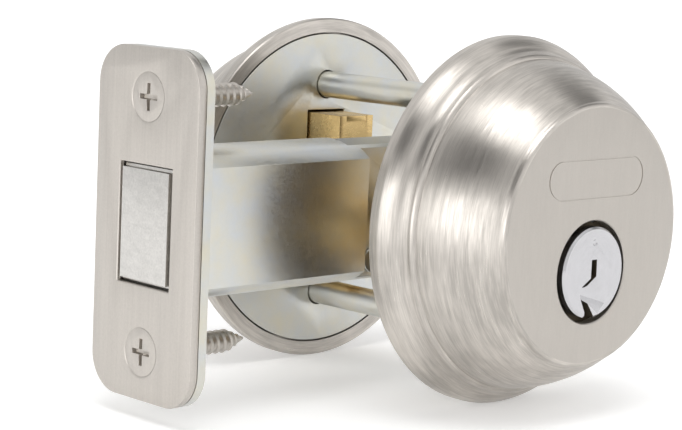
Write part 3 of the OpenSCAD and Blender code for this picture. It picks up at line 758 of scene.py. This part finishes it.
class DEADBOLT_OT_bodies(bpy.types.Operator):
    """Finish the cylinder bodies with their strips, guards and screws"""
    bl_idname = "deadbolt.bodies"
    bl_label = "Cylinder bodies"

    def execute(self, context):
        for side in SIDES:
            # The body's front round the plug takes the near-black brass as painted shade.
            machined_copy(f"{side}_cylinder_body", ["brass", "painted_shade"], edge=0.2, painted_shade=at_mouth(side))
            machined_copy(f"{side}_chamber_strip", ["brass"], edge=0.1)
            machined_copy(f"{side}_drill_guards", ["hard"], edge=0.1)
            machined_copy(f"{side}_cylinder_screws", ["zinc"], edge=0.1)
        return {"FINISHED"}


# ---------------------------------------------------------------- fixings and bolt

# A faceplate screw, in mm: shank radius, tip length, thread depth and pitch, and height of its first turn
SCREW_ROOT, SCREW_TAPER = 1.7, 4.0
THREAD_DEPTH, THREAD_PITCH, THREAD_START = 0.3, 1.4, 4.4


def thread_ridge(root, depth, pitch, start, taper, tip, steps=24):
    """A right-hand helical ridge along Z on a shank that narrows from one height to its tip."""
    bm = bmesh.new()
    end = tip - 2 * depth
    count = int((end - start) / pitch * steps)
    before = None
    for i in range(count + 1):
        angle, height = tau * i / steps, start + (end - start) * i / count
        shank = root * min(1.0, (tip - height) / (tip - taper))
        rise = depth * min(1.0, 2 * i / steps, 2 * (count - i) / steps)
        row = [bm.verts.new((r * cos(angle), r * sin(angle), height + z))
               for r, z in ((shank - 0.1, -0.3 * pitch), (shank + rise, 0), (shank - 0.1, 0.3 * pitch))]
        if before:
            for a, b in ((0, 1), (1, 2), (2, 0)):
                bm.faces.new((before[a], row[a], row[b], before[b]))
        if i in (0, count):
            bm.faces.new(row)
        before = row
    bmesh.ops.recalc_face_normals(bm, faces=bm.faces)
    return bm


def make_screw_threads():
    """The faceplate screws' threads, at the places of the CAD model's own screws."""
    low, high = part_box("faceplate_screws")
    head, length = (high[1] - low[1]) / 2, (high[0] - low[0]) / MM
    threads = []
    for way in (-1, 1):
        place = Matrix.Translation((low[0], low[1] + head, way * (high[2] - head)))
        ridge = thread_ridge(SCREW_ROOT, THREAD_DEPTH, THREAD_PITCH, THREAD_START, length - SCREW_TAPER,
                             length)
        bmesh.ops.transform(ridge, matrix=place @ Matrix.Rotation(pi / 2, 4, "Y") @ Matrix.Scale(MM, 4),
                            verts=ridge.verts)
        threads.append(ridge)
    return merged(threads)


class DEADBOLT_OT_fixings(bpy.types.Operator):
    """Finish the mounting plate, set screws and through bolts"""
    bl_idname = "deadbolt.fixings"
    bl_label = "Fixings"

    def execute(self, context):
        machined_copy("inside_mounting_plate", ["zinc"], edge=0.15)
        machined_copy("inside_set_screws", ["hard"], edge=0.08)
        machined_copy("through_bolts", ["zinc"], edge=0.15)
        return {"FINISHED"}


class DEADBOLT_OT_bolt(bpy.types.Operator):
    """Finish the faceplate, bolt, case, tail and cam"""
    bl_idname = "deadbolt.bolt"
    bl_label = "Bolt"

    def execute(self, context):
        looks = {
            "faceplate": ("plate", 0.25),
            "bolt_case_front": ("zinc", 0.25), "bolt_case_rear": ("zinc", 0.25),
            "case_rivets": ("zinc", 0.25),
            "bolt_head": ("bolt", 0.2), "bolt_roller": ("hard", 0.1), "bolt_tail": ("zinc", 0.15),
            "tail_rivet": ("zinc", 0.1), "cam": ("cast", 0.2), "cam_pin": ("hard", 0.15),
            "detent_spring": ("spring", 0.06),
        }
        for node, (material, edge) in looks.items():
            machined_copy(node, [material], edge=edge)
        machined_copy("faceplate_screws", ["plate"], edge=0.08, more=make_screw_threads())
        machined_copy("backplate", ["zinc"], edge=0, whole=False)
        return {"FINISHED"}


# ---------------------------------------------------------------- stage

VIEW_AZIMUTH, VIEW_ELEVATION, VIEW_ROLL = -48.6, 7.9, 3.2    # degrees, on the outside housing's seat
VIEW_DISTANCE = 11.2                                         # in rim radii
FOCAL = 108.6                                                # mm on a 36 mm sensor
PAN, TILT = 4.41, 0.12                                       # degrees, right of and above the middle


def direction(azimuth, elevation):
    """From the object towards a camera or light there. Azimuth 0 is in front, on -Y, and 90 on +X."""
    a, e = radians(azimuth), radians(elevation)
    return Vector((sin(a) * cos(e), -cos(a) * cos(e), sin(e)))


def add_camera():
    data = bpy.data.cameras.new("camera")
    data.lens, data.sensor_width, data.clip_start, data.clip_end = FOCAL, 36.0, 0.01, 20.0
    camera = bpy.data.objects.new("camera", data)
    bpy.context.scene.collection.objects.link(camera)
    back = direction(VIEW_AZIMUTH, VIEW_ELEVATION)
    turn = back.to_track_quat("Z", "Y").to_matrix()
    turn = turn @ Matrix.Rotation(radians(VIEW_ROLL), 3, "Z")
    turn = turn @ Matrix.Rotation(radians(PAN), 3, "Y") @ Matrix.Rotation(radians(TILT), 3, "X")
    camera.matrix_world = Matrix.Translation(back * VIEW_DISTANCE * RIM_R * MM) @ turn.to_4x4()
    bpy.context.scene.camera = camera


def add_floor():
    """A wide pale sheet that the lock's rims stand on."""
    bm = bmesh.new()
    low = Matrix.Translation((0, 0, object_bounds()[0][2]))
    bmesh.ops.create_circle(bm, cap_ends=True, radius=4.5, segments=96, matrix=low)
    mesh = bpy.data.meshes.new("floor")
    bm.to_mesh(mesh)
    bm.free()
    floor = bpy.data.objects.new("floor", mesh)
    bpy.context.scene.collection.objects.link(floor)
    material, _, shader, _ = new_material("pale_floor", metallic=0.0)
    shader.inputs["Base Color"].default_value = (0.86, 0.86, 0.86, 1.0)
    shader.inputs["Roughness"].default_value = 0.9
    shader.inputs["Specular IOR Level"].default_value = 0.1
    shader.inputs["Emission Color"].default_value = (1.0, 1.0, 1.0, 1.0)
    shader.inputs["Emission Strength"].default_value = 0.3
    mesh.materials.append(material)
    floor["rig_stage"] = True


def add_softbox(name, azimuth, elevation, distance, size, watts):
    """A square area light that faces the lock."""
    data = bpy.data.lights.new(name, "AREA")
    data.shape, data.size, data.size_y, data.energy = "RECTANGLE", size[0], size[1], watts
    light = bpy.data.objects.new(name, data)
    bpy.context.scene.collection.objects.link(light)
    way = direction(azimuth, elevation)
    light.matrix_world = Matrix.Translation(way * distance) @ way.to_track_quat("Z", "Y").to_matrix().to_4x4()
    light.visible_camera = False


# Brighter and darker parts of the studio: azimuth, elevation, inner and outer angle, change in brightness
STUDIO_LEVEL, BACKDROP_LEVEL = 0.88, 0.97
STUDIO_PATCHES = (
    (-45, 76, 6, 22, 3.1),       # softbox overhead
    (-80, 43, 15, 28, -0.87),    # gap between it and the left wall
    (-80, 6, 12, 33, 0.95),      # left wall
    (90, 46, 5, 18, -0.88),      # gap behind, on the right
)


def add_surround():
    """The studio round the lock. What the camera sees directly is plain and pale."""
    world = bpy.data.worlds.new("studio")
    world.use_nodes = True
    bpy.context.scene.world = world
    t = Tree(world.node_tree)
    way = t.add("ShaderNodeTexCoord").outputs["Generated"]
    level = STUDIO_LEVEL
    for azimuth, elevation, inner, outer, change in STUDIO_PATCHES:
        towards = t.add("ShaderNodeVectorMath", {0: way, 1: direction(azimuth, elevation)},
                        operation="DOT_PRODUCT").outputs["Value"]
        patch = t.ramp(towards, cos(radians(outer)), cos(radians(inner)), 0.0, change, smooth=True)
        level = t.math("ADD", patch, level)
    seen = t.add("ShaderNodeLightPath").outputs["Is Camera Ray"]
    shown = t.add("ShaderNodeMix", {0: seen, 2: level, 3: BACKDROP_LEVEL}).outputs[0]
    background = next(n for n in world.node_tree.nodes if n.type == "BACKGROUND")
    background.inputs["Color"].default_value = (1.0, 1.0, 1.0, 1.0)
    t.feed(background.inputs["Strength"], shown)


class DEADBOLT_OT_stage(bpy.types.Operator):
    """Set up the camera, floor and lights"""
    bl_idname = "deadbolt.stage"
    bl_label = "Stage"

    def execute(self, context):
        add_camera()
        add_floor()
        add_surround()
        add_softbox("top_softbox", -60, 79, 0.9, (0.26, 0.26), 0.26)
        add_softbox("left_softbox", -76, 5, 0.24, (0.16, 0.12), 0.06)
        add_softbox("front_fill", 40, 25, 1.1, (0.9, 0.7), 0.5)
        context.scene.view_settings.view_transform = "Standard"
        return {"FINISHED"}


# ---------------------------------------------------------------- panel and registration

OPERATORS = (DEADBOLT_OT_stage, DEADBOLT_OT_housings, DEADBOLT_OT_plugs, DEADBOLT_OT_pins, DEADBOLT_OT_bodies,
             DEADBOLT_OT_fixings, DEADBOLT_OT_bolt)


class DEADBOLT_PT_panel(bpy.types.Panel):
    """Lists the lock's sizes, finishes and making steps"""
    bl_idname = "DEADBOLT_PT_panel"
    bl_label = "Deadbolt"
    bl_space_type = "VIEW_3D"
    bl_region_type = "UI"
    bl_category = "Deadbolt"

    def draw(self, context):
        for settings in (sizes(), finish()):
            box = self.layout.box()
            for name in settings.__annotations__:
                box.prop(settings, name)
        for operator in OPERATORS:
            self.layout.operator(operator.bl_idname)


CLASSES = (HousingSizes, Finish) + OPERATORS + (DEADBOLT_PT_panel,)


def register():
    for cls in CLASSES:
        bpy.utils.register_class(cls)
    bpy.types.Scene.deadbolt_housing = bpy.props.PointerProperty(type=HousingSizes)
    bpy.types.Scene.deadbolt_finish = bpy.props.PointerProperty(type=Finish)


def unregister():
    del bpy.types.Scene.deadbolt_finish
    del bpy.types.Scene.deadbolt_housing
    for cls in reversed(CLASSES):
        bpy.utils.unregister_class(cls)


def main():
    register()
    GROUPS.update(make_groups())
    MATERIALS.update(make_materials())
    make = bpy.ops.deadbolt
    for step in (make.stage, make.housings, make.plugs, make.pins, make.bodies, make.fixings, make.bolt):
        step()


if __name__ == "__main__":
    main()
